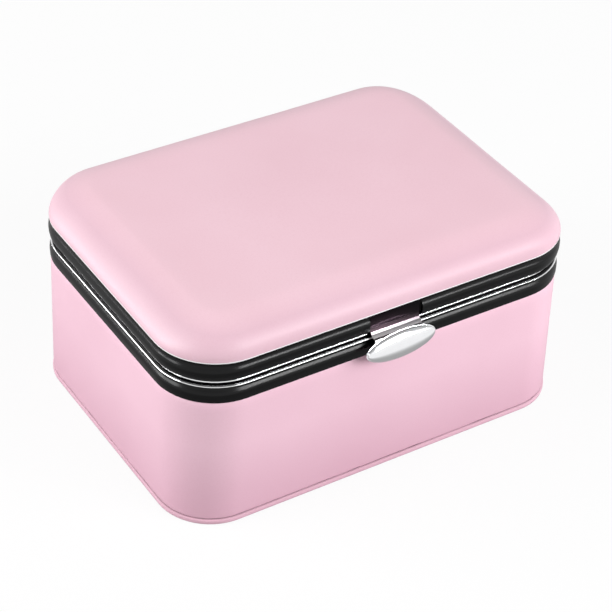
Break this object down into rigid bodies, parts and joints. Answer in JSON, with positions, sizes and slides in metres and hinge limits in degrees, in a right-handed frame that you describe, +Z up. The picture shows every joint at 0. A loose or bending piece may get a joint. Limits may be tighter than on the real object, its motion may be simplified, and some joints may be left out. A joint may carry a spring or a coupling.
{
  "type": "jewellery box",
  "caption": "Leather covered jewellery case with a padded hinged lid, black rim frames with chrome inlay, an oval press catch, a mirror and a lift-out ring tray.",
  "frame": {"origin": "centre of the closed case's bounding box, on the surface it stands on", "axes": "+X to the right seen from the front, +Y towards the hinges, +Z up; the catch faces -Y"},
  "size_m": [0.1622, 0.1273, 0.0806],
  "materials": {
    "pink_leather": "smooth synthetic leather with a fine grain",
    "board": "pressed board",
    "black_frame": "satin black rim profile",
    "chrome_inlay": "bright chrome inlay strip",
    "chrome_catch": "polished chrome",
    "nickel_hinge": "nickel plated steel",
    "steel": "plain spring and sheet steel",
    "velvet": "short pile velvet",
    "ribbon": "satin ribbon",
    "foam": "soft padding foam",
    "mirror": "silvered mirror glass"
  },
  "bodies": {
    "base": {"bottom_panel": "pink_leather", "base_shell": "board", "base_leather": "pink_leather", "base_frame": "black_frame", "base_trim": "chrome_inlay", "base_lining": "velvet", "base_dividers": "velvet", "tray_ledges": "velvet", "hinge_base_leaves": "nickel_hinge", "hinge_pins": "nickel_hinge", "hinge_base_rivets": "nickel_hinge", "catch_bracket": "steel", "catch_pin": "steel", "catch_spring": "steel"},
    "lid": {"lid_shell": "board", "lid_foam": "foam", "lid_leather": "pink_leather", "lid_frame": "black_frame", "lid_trim": "chrome_inlay", "lid_lining": "velvet", "mirror_glass": "mirror", "mirror_frame": "velvet", "hinge_lid_leaves": "nickel_hinge", "hinge_lid_rivets": "nickel_hinge", "catch_keeper": "steel"},
    "tray": {"tray_shell": "board", "tray_lining": "velvet", "tray_dividers": "velvet", "ring_rolls": "velvet", "tray_pull_tabs": "ribbon"},
    "catch": {"catch_plate": "chrome_catch", "thumb_button": "chrome_catch"}
  },
  "joints": [
    {"name": "lid_hinge", "type": "hinge", "parent": "base", "child": "lid", "pos_m": [0, 0.06101, 0.0602], "axis": [-1, 0, 0], "range_deg": [0, 105]},
    {"name": "tray_lift", "type": "slide", "parent": "base", "child": "tray", "axis": [0, 0, 1], "range_m": [0, 0.004]},
    {"name": "catch_press", "type": "hinge", "parent": "base", "child": "catch", "pos_m": [0, -0.05674, 0.0554], "axis": [1, 0, 0], "range_deg": [0, 10], "stiffness_Nm_per_rad": 0.008, "springref_deg": -11.46, "deforming": ["catch_spring"]}
  ]
}
